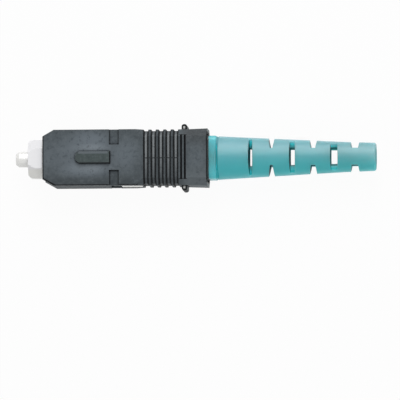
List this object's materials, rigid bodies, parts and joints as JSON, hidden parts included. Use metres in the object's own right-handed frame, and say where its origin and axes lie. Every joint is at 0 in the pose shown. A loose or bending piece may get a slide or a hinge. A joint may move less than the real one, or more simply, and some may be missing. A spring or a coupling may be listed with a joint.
{
  "type": "sc fibre connector",
  "caption": "Fibre-optic plug with a ceramic ferrule in a white plug frame, a sliding charcoal coupling housing with key and grip ribs, and a slotted aqua bend-relief boot.",
  "frame": {"origin": "on the optical axis, in the plane of the plug frame's front face", "axes": "+X along the optical axis from the ferrule's tip towards the boot, +Z out of the face that carries the key, +Y across the wide face"},
  "size_m": [0.0582, 0.0108, 0.0082],
  "materials": {
    "zirconia": "polished white zirconia",
    "fibre_glass": "clear drawn glass",
    "holder_plastic": "moulded, natural grey",
    "splice_plastic": "moulded, fine matte",
    "cam_plastic": "moulded, black",
    "crimp_metal": "nickel-plated, drawn",
    "spring_steel": "bright spring wire",
    "inner_plastic": "moulded, black",
    "white_plastic": "moulded, satin white",
    "charcoal_plastic": "moulded, fine matte charcoal",
    "aqua_elastomer": "moulded, satin aqua elastomer"
  },
  "bodies": {
    "body": {"plug_frame": "white_plastic", "spring_retainer": "inner_plastic", "rear_body": "inner_plastic", "boot": "aqua_elastomer", "ferrule_spring": "spring_steel"},
    "coupling_housing": {"coupling_housing": "charcoal_plastic"},
    "ferrule_carrier": {"ferrule": "zirconia", "ferrule_holder": "holder_plastic", "fibre_stub": "fibre_glass", "splice_base": "splice_plastic", "lead_in_tube": "holder_plastic", "crimp_tube": "crimp_metal"},
    "splice_clamp": {"splice_clamp": "splice_plastic"},
    "cam_sleeve": {"cam_sleeve": "cam_plastic"}
  },
  "joints": [
    {"name": "housing_slide", "type": "slide", "parent": "body", "child": "coupling_housing", "axis": [1, 0, 0], "range_m": [0, 0.00155]},
    {"name": "ferrule_slide", "type": "slide", "parent": "body", "child": "ferrule_carrier", "axis": [1, 0, 0], "range_m": [0, 0.001], "stiffness_N_per_m": 2000, "deforming": ["ferrule_spring"]},
    {"name": "cam_turn", "type": "hinge", "parent": "body", "child": "cam_sleeve", "pos_m": [0.0241, 0, 0], "axis": [1, 0, 0], "range_deg": [0, 90]},
    {"name": "clamp_lift", "type": "slide", "parent": "ferrule_carrier", "child": "splice_clamp", "axis": [0, 1, 0], "range_m": [0, 0.0001]}
  ],
  "couplings": [
    {"joint": "cam_turn", "follows": "clamp_lift", "rad_per_m": 15700}
  ]
}
